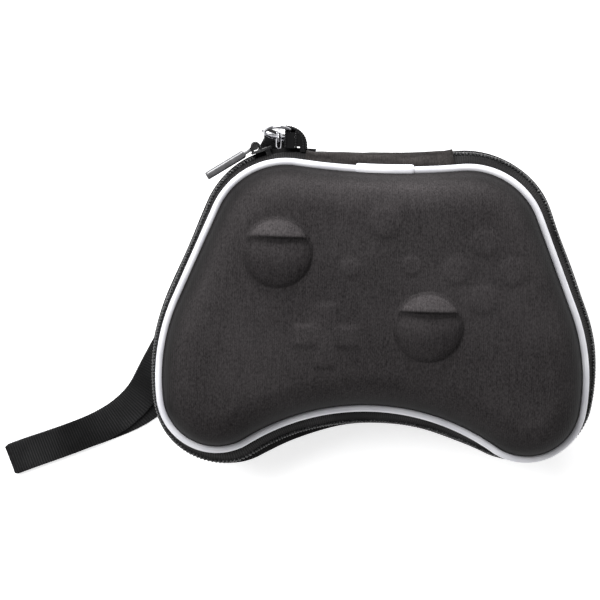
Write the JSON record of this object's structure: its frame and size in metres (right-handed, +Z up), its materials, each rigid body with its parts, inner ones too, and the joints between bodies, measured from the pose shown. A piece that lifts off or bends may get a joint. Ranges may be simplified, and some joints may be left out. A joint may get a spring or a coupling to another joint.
{
  "type": "controller carrying case",
  "caption": "Moulded zip case for a game controller, with white piped seams, a zip pull and a webbing wrist strap on a snap hook.",
  "frame": {"origin": "middle of the flat rest area under the back shell", "axes": "+Z up out of the lid, +Y towards the hinge panel, +X towards the right-hand grip lobe"},
  "size_m": [0.2418, 0.1491, 0.0754],
  "materials": {
    "moulded_fabric": "heat-moulded knit over foam, matt with a soft sheen",
    "piping": "smooth coated fabric over cord",
    "lining_tape": "plain woven tape",
    "zip_tape": "ribbed woven tape",
    "zip_coil": "satin moulded coil",
    "panel_fabric": "plain knit",
    "webbing": "cross-ribbed webbing",
    "chrome": "polished plating",
    "plated_zinc": "dark satin plating"
  },
  "bodies": {
    "base": {"back_shell": "moulded_fabric", "back_piping": "piping", "back_piping_sleeve": "piping", "back_binding": "lining_tape", "back_zip_tape": "zip_tape", "back_zip_coil": "zip_coil", "hinge_panel": "panel_fabric", "ring_tab": "webbing", "strap_ring": "chrome", "hook_claw": "chrome", "hook_eye": "chrome", "wrist_strap": "webbing"},
    "lid": {"front_shell": "moulded_fabric", "front_piping": "piping", "front_piping_sleeve": "piping", "front_binding": "lining_tape", "front_zip_tape": "zip_tape", "front_zip_coil": "zip_coil"},
    "zip_slider": {"slider_body": "plated_zinc"},
    "zip_pull": {"pull_tab": "plated_zinc"},
    "gate": {"hook_gate": "chrome"}
  },
  "joints": [
    {"name": "lid_hinge", "type": "hinge", "parent": "base", "child": "lid", "pos_m": [0, 0.0615, 0.035], "axis": [-1, 0, 0], "range_deg": [0, 173], "deforming": ["hinge_panel", "front_zip_tape", "front_zip_coil"]},
    {"name": "zip_slide", "type": "hinge", "parent": "base", "child": "zip_slider", "pos_m": [-0.0362, 0.0234, 0.035], "axis": [0, 0, 1], "range_deg": [0, 20], "deforming": ["front_zip_coil", "back_zip_coil"]},
    {"name": "pull_swing", "type": "hinge", "parent": "zip_slider", "child": "zip_pull", "pos_m": [-0.04987, 0.05942, 0.035], "axis": [0, 0, -1], "range_deg": [0, 100]},
    {"name": "gate_swing", "type": "hinge", "parent": "base", "child": "gate", "pos_m": [-0.04062, 0.06509, 0.02571], "axis": [1, 0, 0], "range_deg": [0, 18], "stiffness_Nm_per_rad": 0.001}
  ]
}
